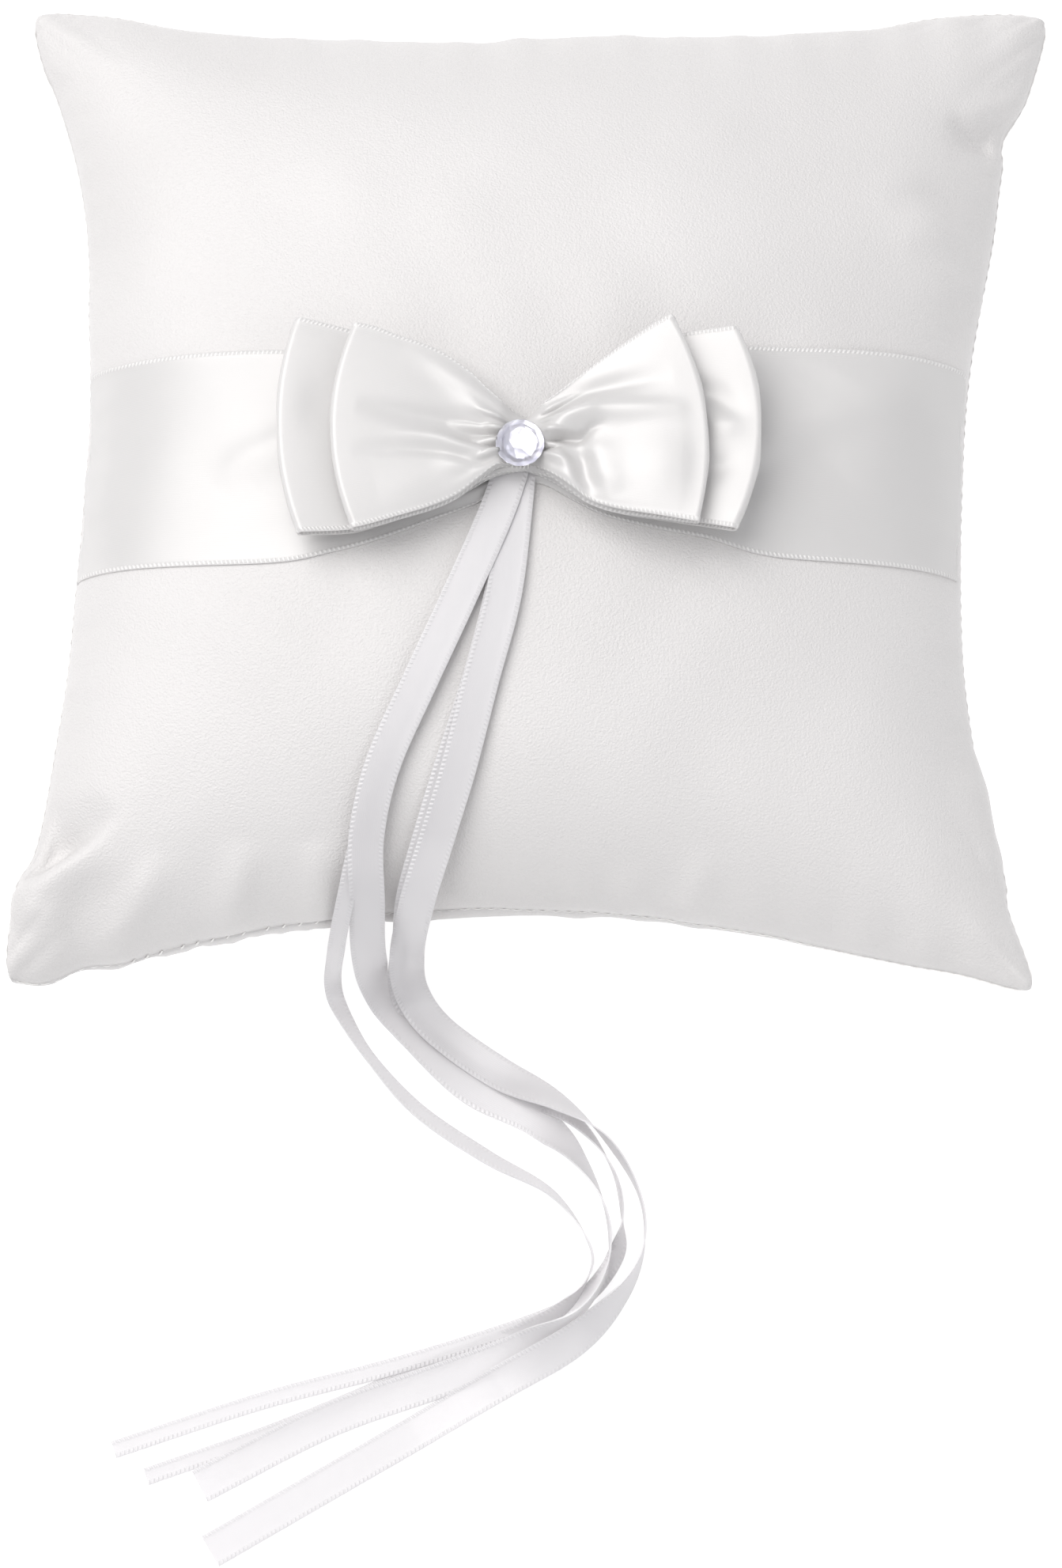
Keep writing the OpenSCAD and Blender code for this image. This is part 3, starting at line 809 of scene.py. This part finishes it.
# ---------------------------------------------------------------- the bows
# One wing each, in mm. far and near are its edges from the binding to the fold, bulge is how far
# the fold bows out in the middle, and knot is the height of the upper layer at the binding. upper
# and lower are heights at 0, 1/4, 1/2, 3/4 and 1 of the way out: of the upper layer above the
# pillow's dome, and of the lower one above what it lies on. folds are those of the upper layer.
FRONT_LEFT = dict(
    far=[
        (-1, 4.6), (-4, 6.0), (-8, 9.2), (-11, 12.2), (-15.5, 15.4), (-19.5, 17.3), (-24.5, 18.9),
        (-28.5, 20.4), (-31.5, 21.0),
    ],
    near=[
        (-1, -4.4), (-5.8, -5.2), (-9.2, -7.6), (-13.5, -11), (-18.3, -13.4), (-25, -15.8),
        (-29.5, -17.3), (-31.6, -17.9),
    ],
    bulge=4.2,
    knot=6.5,
    upper=(6.4, 7.6, 9.0, 10.8, 12.6),
    lower=(0.4, 0.8, 1.6, 2.4, 3.0),
    folds=[
        (
            [
                (-4, -3.0, 0.8), (-8.7, -3.0, 1.6), (-12.5, -2.2, 1.5), (-16.5, -0.7, 1.0),
                (-20.5, -0.2, 0.5), (-26, -0.2, 0.1), (-34, -1, 0),
            ],
            3.6, 1.1,
        ),
        ([(-5, -4.2, -0.8), (-10, -4.8, -1.1), (-16, -3.2, -0.9), (-24, -3, -0.4), (-33, -4, 0)], 1.2, 2.2),
        ([(-6, -6, 0.4), (-12, -7.5, 0.4), (-20, -9, 0.3), (-28, -11, 0)], 3.6, 4.0),
        (
            [
                (-4.5, 1.5, 0.4), (-7, 3, 0.8), (-10.6, 7.4, 0.8), (-14.5, 11.2, 0.5),
                (-18.5, 14.5, 0.2), (-23, 17, 0),
            ],
            2.2, 3.4,
        ),
        ([(-5, -1, -0.8), (-10, 0.8, -1.0), (-15.4, 2.6, -0.8), (-24, 4, -0.5), (-32, 5.5, 0)], 2.0, 1.8),
    ],
)
FRONT_RIGHT = dict(
    far=[(-1, 4.4), (0.5, 5.6), (4, 8.0), (8.7, 11.4), (15, 15.8), (21, 19.8), (25.0, 22.3)],
    near=[
        (-1, -4.2), (1, -4.8), (3.4, -6.6), (7.8, -10), (10.6, -12), (15.5, -14), (23, -15.6),
        (29.8, -17),
    ],
    bulge=4.0,
    knot=6.5,
    upper=(6.4, 7.8, 9.4, 11.2, 12.8),
    lower=(0.4, 0.8, 1.6, 2.4, 3.0),
    folds=[
        (
            [
                (0, -0.4, 0.6), (2.9, 0.8, 1.6), (6.3, 3.2, 1.9), (10.2, 4.6, 1.6),
                (13.5, 4.8, 1.0), (20.8, 4.7, 0.6), (30, 4.4, 0),
            ],
            1.7, 2.4,
        ),
        ([(2.5, 3.4, -0.5), (8.7, 7.8, -0.9), (16, 9.2, -0.7), (26, 10.6, 0)], 2.2, 1.6),
        (
            [
                (1, -1.7, -1.0), (2.8, -1.7, -1.8), (6.4, -0.7, -1.9), (9, -0.5, -1.3),
                (11, 1.2, -0.6), (14, 2.2, 0),
            ],
            0.9, 1.0,
        ),
        (
            [
                (1.5, -3.4, 0.4), (3.4, -3.2, 1.0), (5.1, -3.9, 1.5), (6.7, -7.1, 1.5),
                (7.6, -9.6, 1.0), (8.6, -12, 0.4),
            ],
            1.4, 2.4,
        ),
        ([(8.5, -1.5, -0.2), (9.4, -4, -0.6), (10, -7, -0.7), (11.6, -11.7, -0.3)], 1.9, 1.5),
        ([(10.5, -1.5, 0.1), (11.8, -3.6, 0.4), (13.7, -8.7, 0.4), (14.8, -12, 0.1)], 3.2, 1.8),
        ([(17, -6, 0.4), (24, -6, 0.6), (31, -6, 0)], 7.0, 7.0),
    ],
)
REAR_LEFT = dict(
    far=[(-1, 2.5), (-5, 4.2), (-8, 8), (-12, 11), (-20, 15.5), (-28, 19.2), (-33, 21.4), (-42.3, 23.6)],
    near=[(-1, -5), (-6, -6), (-12, -9), (-20, -12.5), (-27, -15), (-33, -16.8), (-41.6, -17.6)],
    bulge=3.8,
    knot=5.0,
    upper=(4.8, 5.0, 5.4, 6.8, 9.6),
    lower=(0.4, 1.0, 2.0, 3.8, 6.6),
    folds=[([(-30, 6, 0), (-38, 7, -0.25), (-45, 6.5, 0)], 5.0, 5.0)],
)
REAR_RIGHT = dict(
    far=[(-1, 2.5), (0, 4), (4, 7), (9, 10.5), (16, 15), (23, 19), (28.2, 20.4), (37, 21.3)],
    near=[(-1, -5), (1, -5.6), (4, -7), (9, -10), (16, -13), (24, -14.6), (31, -16), (36.5, -17.2)],
    bulge=4.6,
    knot=5.0,
    upper=(4.8, 5.0, 5.6, 7.4, 10.4),
    lower=(0.4, 1.0, 2.2, 4.4, 7.4),
    folds=[
        ([(26, 9, 0), (33, 8.5, -0.6), (37, 6, -0.4), (42, 4, 0)], 2.8, 2.4),
        ([(30, 2, 0), (36, 2.5, 0.4), (42, 2, 0.1)], 2.2, 2.8),
        ([(29, -5, 0), (35, -5.5, -0.4), (41, -4, 0)], 2.4, 2.8),
    ],
)


def wing(shape, s, count, fold_rows, ground):
    """Rows of points over the wing from the binding out along the upper layer, round the fold
    and back along the lower one. s is the place across the ribbon from -1, near, to 1, far."""
    t = np.linspace(0, 1, count)
    t = 0.75 * t + 0.25 * np.sin(np.pi * t / 2)
    edges = []
    for key in ("near", "far"):
        dense, run = spline([(a, b, 0) for a, b in shape[key]], 0.3)
        edges.append(np.stack([np.interp(t * run[-1], run, dense[:, k]) for k in (0, 1)], 1))
    near, far = edges
    w = ((s + 1) / 2)[None, :, None]
    flat = near[:, None] * (1 - w) + far[:, None] * w
    fold = unit(far[-1] - near[-1])
    outward = np.array([fold[1], -fold[0]])
    outward = outward * np.sign(outward[0] * (far[-1, 0] + near[-1, 0]))
    flat = flat + outward * (shape["bulge"] * (t**2)[:, None] * (1 - s**2)[None, :])[..., None]
    x, y = flat[..., 0], flat[..., 1]
    steps = np.linspace(0, 1, 5)

    def rise(key):
        dense, _ = spline([(a * 40, b, 0) for a, b in zip(steps, shape[key])], 0.4)
        return np.interp(t * 40, dense[:, 0], dense[:, 1])[:, None]

    # The ribbon bridges the steps in whatever it lies on.
    below = ground(x * MM, y * MM) / MM
    across = np.abs(s[:, None] - s[None, :]) * RIBBON_W / 2 / MM
    below = (below[:, None, :] - 0.35 * across[None]).max(axis=2)
    closed = 1 - 0.2 * np.abs(s)[None, :] ** 7
    relief = fold_lines(x, y, shape["folds"]) * smooth((1 - t) / 0.12)[:, None]
    pleating = np.clip(1 - t / 0.7, 0, 1) ** 1.5 * smooth(t / 0.2)
    pleat = np.sin(2 * np.pi * 3 * s)[None, :] * pleating[:, None]
    # Its near edge hangs a little between the binding and the fold.
    droop = (np.maximum(-s, 0) ** 5)[None, :] * (1 - smooth((t - 0.4) / 0.4))[:, None]
    lower = below + rise("lower") - 0.4 * droop
    lower = lower + 1.3 * (pleat + pleat.max(axis=1, keepdims=True)) * (1 - s**4)[None, :]
    upper = dome_z(x * MM, y * MM) / MM + rise("upper")
    upper = lower + 0.6 + np.maximum(upper - lower - 0.6, 0) * closed
    upper = np.maximum(upper + 1.3 * relief + 0.25 * pleat, lower + 0.5)
    # The binding presses both layers flat.
    pressed = (1 - smooth(t / 0.16))[:, None]
    level = dome_z(x * MM, y * MM) / MM + shape["knot"] * (1 - 0.45 * np.abs(s) ** 3)[None, :]
    lower += (level - 0.5 - lower) * pressed
    upper += (level - upper) * pressed
    rows = [np.stack([x, y, upper], -1)]
    radius = (upper[-1] - lower[-1]) / 2
    for a in np.linspace(0, np.pi, fold_rows + 2)[1:-1]:
        z = (upper[-1] + lower[-1]) / 2 + radius * np.cos(a)
        out = 0.7 * radius * np.sin(a)
        rows.append(np.stack([x[-1] + outward[0] * out, y[-1] + outward[1] * out, z], -1)[None])
    rows.append(np.stack([x, y, lower], -1)[::-1])
    return np.concatenate(rows)


def make_bow(name, node, left, right, material, ground):
    """One strip from the binding out and back on the right, then out and back on the left."""
    offset = across_offsets(RIBBON_W, 60)
    s = offset / (RIBBON_W / 2)
    right_rows = wing(right, s, 90, 7, ground)
    left_rows = wing(left, s, 90, 7, ground)[::-1]
    p = np.concatenate([right_rows, left_rows[1:]]) * MM
    return wide_ribbon(name, node, p, offset, material)


# ---------------------------------------------------------------- the tails
def make_tail(name, node, route, width, clearance, material, ground):
    """A flat ribbon along its route, with a woven selvage on both edges. clearance is its height
    over the pillow's face in mm, as the tails cross over each other."""
    dense, _ = spline(route, 0.45)
    turn = np.radians(dense[:, 3])
    lift = np.maximum(dense[:, 2], 0)
    lift = lift + np.abs(np.sin(turn)) * width / MM / 2 + np.abs(np.cos(turn)) * TAIL_T / MM / 2
    sides = [dense[:, 0] + side * width / MM / 2 for side in (-1, 0, 1)]
    under = [ground(x * MM, dense[:, 1] * MM) / MM for x in sides]
    lift = np.maximum(lift, np.max(under, axis=0) + clearance)
    centre = np.stack([dense[:, 0], dense[:, 1], lift], 1) * MM
    run = run_along(centre)
    ahead = unit(np.gradient(centre, axis=0))
    level = unit(np.stack([ahead[:, 1], -ahead[:, 0], 0 * turn], 1))
    up = np.cross(level, ahead)
    across = np.cos(turn)[:, None] * level + np.sin(turn)[:, None] * up
    edge = np.array([0, 0.12, 0.24, 0.36, 0.5, 0.65]) * MM
    count = 8 if width > 5 * MM else 5
    inner = np.linspace(-width / 2 + edge[-1], width / 2 - edge[-1], count)[1:-1]
    offset = np.r_[-width / 2 + edge, inner, (width / 2 - edge)[::-1]]
    p = centre[:, None] - across[:, None] * offset[None, :, None]
    piece = ribbon_piece(name, node, p, run, offset, TAIL_T, TAIL_CORD, material)
    return piece


# ---------------------------------------------------------------- threads and stitches
def thread_piece(name, node, lines, radius, material, sides):
    """Round threads along lines of points, each (points, closed)."""
    verts, faces = [], []
    for points, closed in lines:
        p = np.asarray(points, float)
        m = len(p)
        ahead = (np.roll(p, -1, 0) - np.roll(p, 1, 0)) if closed else np.gradient(p, axis=0)
        ahead = unit(ahead)
        side = unit(np.cross(ahead, (0.13, 0.21, 1.0)))
        over = np.cross(side, ahead)
        a = (2 * np.pi * np.arange(sides) / sides)[None, :, None]
        ring = p[:, None] + radius * (np.cos(a) * side[:, None] + np.sin(a) * over[:, None])
        start = len(verts)
        verts += ring.reshape(-1, 3).tolist()
        rows = m if closed else m - 1
        for i in range(rows):
            for k in range(sides):
                a0, a1 = start + i * sides + k, start + i * sides + (k + 1) % sides
                b0 = start + ((i + 1) % m) * sides + k
                b1 = start + ((i + 1) % m) * sides + (k + 1) % sides
                faces.append((a0, a1, b1, b0))
        if not closed:
            faces.append(tuple(start + k for k in range(sides))[::-1])
            faces.append(tuple(start + (m - 1) * sides + k for k in range(sides)))
    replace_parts(new_piece(name, verts, faces, material), node)


def make_seam_thread(rim, material):
    """The machine stitching shows as short lengths in the bottom of the seam's groove."""
    p = np.vstack([rim, rim[:1]])
    level = np.array([1, 1, 0])
    line, run = spline(p + unit(p * level) * 0.15 * MM, 0.6 * MM)
    dip = 0.5 + 0.5 * np.sin(2 * np.pi * run / (2.4 * MM))
    line = line - unit(line * level) * (0.25 * MM * dip)[:, None]
    # It leaves out the opening, which is closed by hand.
    opening = int(len(line) * 0.03), int(len(line) * 0.085)
    runs = [(line[opening[1]:], False), (line[:opening[0]], False)]
    thread_piece("seam_stitching", "perimeter_seam_thread", runs, 0.13 * MM, material, 6)


def make_closing(rim, material):
    """Slanted hand stitches over the seam where the case was closed after filling."""
    near = rim[rim[:, 1] < -70 * MM]
    near = near[np.argsort(near[:, 0])]
    f = np.linspace(-1, 1, 9)
    stitch = np.stack([0.5 * f, 0.35 * f * f - 0.2, 0.9 * f], 1) * MM
    places = [near[np.argmin(np.abs(near[:, 0] - x * MM))] for x in np.linspace(-74, -34, 14)]
    lines = [(place + stitch, False) for place in places]
    thread_piece("closing_hand_stitches", "closing_stitches", lines, 0.16 * MM, material, 6)


def make_binding(material):
    """Turns of thread round the waists of both bows and the folded tails."""
    low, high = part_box("bow_binding_thread")
    lines = []
    for turn in (-1, -0.5, 0, 0.5, 1):
        a = np.linspace(0, 2 * np.pi, 41)[:-1]
        x = KNOT.x + turn * 1.6 * MM + 0.2 * MM * np.sin(a + turn)
        y = KNOT.y + 0.4 * MM + 3.7 * MM * np.cos(a)
        z = (low.z + high.z) / 2 + ((high.z - low.z) / 2 - 0.3 * MM) * np.sin(a)
        lines.append((np.stack([x, y, z], 1), True))
    thread_piece("binding_thread", "bow_binding_thread", lines, 0.16 * MM, material, 8)


def make_tacking(material, ground):
    """Four stitches round the binding that hold the bow down."""
    lines = []
    for sx in (-1, 1):
        for sy in (-1, 1):
            x = KNOT.x + sx * 4 * MM
            y = np.linspace(-1.4, 1.4, 7) * MM + KNOT.y + sy * 3 * MM
            z = ground(np.full(7, x), y) + 0.15 * MM
            lines.append((np.stack([np.full(7, x), y, z], 1), False))
    thread_piece("tacking_thread", "tacking_stitches", lines, 0.16 * MM, material, 8)


# ---------------------------------------------------------------- the stone
def circle(radius, z, count, start):
    """count points round the stone's axis, the first one at the angle start."""
    a = start + 2 * np.pi * np.arange(count) / count
    return np.stack([KNOT.x + radius * np.cos(a), KNOT.y + radius * np.sin(a), 0 * a + z], 1)


def make_stone(material):
    """A flat-backed round stone: eight-sided table, two rows of crown facets and a thin girdle."""
    radius = (GEM_HIGH.x - GEM_LOW.x) / 2
    base, top = GEM_LOW.z + 0.04 * MM, GEM_HIGH.z
    n, turn = 8, 0.2
    verts = np.vstack([
        circle(radius * 0.985, base, 2 * n, turn),
        circle(radius, base + 0.35 * MM, 2 * n, turn),
        circle(radius * 0.76, base + 1.45 * MM, n, turn + np.pi / n),
        circle(radius * 0.46, top - 0.05 * MM, n, turn),
    ])
    girdle, crown, table = 2 * n, 4 * n, 5 * n
    faces = [tuple(range(2 * n - 1, -1, -1)), tuple(range(table, table + n))]
    for k in range(2 * n):
        after = (k + 1) % (2 * n)
        faces.append((k, after, girdle + after, girdle + k))
    for k in range(n):
        # Girdle points 2k, 2k+1 and 2k+2, crown points k-1 and k, and table points k and k+1
        a, b, c = girdle + 2 * k, girdle + 2 * k + 1, girdle + (2 * k + 2) % (2 * n)
        mid, mid_before = crown + k, crown + (k - 1) % n
        faces += [(a, b, mid), (b, c, mid), (a, mid, mid_before)]
        faces += [(mid, table + (k + 1) % n, table + k), (mid_before, mid, table + k)]
    stone = new_piece("crystal_stone", verts, faces, material)
    for face in stone.data.polygons:
        face.use_smooth = False
    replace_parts(stone, "rhinestone")


def make_disc(name, node, low_share, material):
    """A thin round disc under the stone, as large as the CAD's, its lower rim narrower."""
    low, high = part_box(node)
    r = (high.x - low.x) / 2
    n = 48
    levels = ((low.z, r * low_share), ((low.z + high.z) / 2, r), (high.z, r * 0.97))
    verts = np.vstack([circle(radius, z, n, 0) for z, radius in levels])
    faces = []
    for start in (0, n):
        for k in range(n):
            a, b = start + k, start + (k + 1) % n
            faces.append((a, b, b + n, a + n))
    faces += [tuple(range(n - 1, -1, -1)), tuple(range(2 * n, 3 * n))]
    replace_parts(new_piece(name, verts, faces, material), node)


# ---------------------------------------------------------------- the scene
# The last number is the strength of the painted highlight and shade on the selvage stitches.
ribbon = satin_ribbon_material("satin_ribbon", (0.81, 0.80, 0.792), 0.33, 1.3)
tail_satin = satin_ribbon_material("satin_tail", (0.81, 0.80, 0.812), 0.4, 0.4)
thread = thread_material()

make_camera()
make_lights()
make_floor()
make_filling(fibre_material())
front_piece, seam_line = make_case(satin_panel_material())
face_ground = Ground([front_piece], (-97 * MM, -96 * MM), (97 * MM, 30 * MM), 1 * MM)
band_piece = make_band(ribbon, face_ground)
tails = [
    make_tail(name + "_ribbon", name, ROUTES[name], width, clearance, tail_satin, face_ground)
    for name, width, clearance in (
        ("narrow_tail_left", NARROW_W, 0.4), ("narrow_tail_right", NARROW_W, 0.8),
        ("wide_tail_right", WIDE_W, 1.2), ("wide_tail_left", WIDE_W, 1.7),
    )
]
bow_area = ((-50 * MM, -30 * MM), (50 * MM, 30 * MM), 0.5 * MM)
knot_ground = Ground([front_piece, band_piece] + tails, *bow_area, blur=3)
rear_bow = make_bow(
    "rear_bow", "bow_rear_ribbon", REAR_LEFT, REAR_RIGHT, ribbon, knot_ground
)
bow_ground = Ground([front_piece, band_piece, rear_bow] + tails, *bow_area, blur=3)
make_bow(
    "front_bow", "bow_front_ribbon", FRONT_LEFT, FRONT_RIGHT, ribbon, bow_ground
)
make_seam_thread(seam_line, thread)
make_closing(seam_line, thread)
make_binding(thread)
make_tacking(thread, knot_ground)
make_stone(crystal_material())
make_disc("stone_foil", "rhinestone_foil", 0.97, foil_material())
make_disc("stone_glue", "glue_dot", 1.0, glue_material())
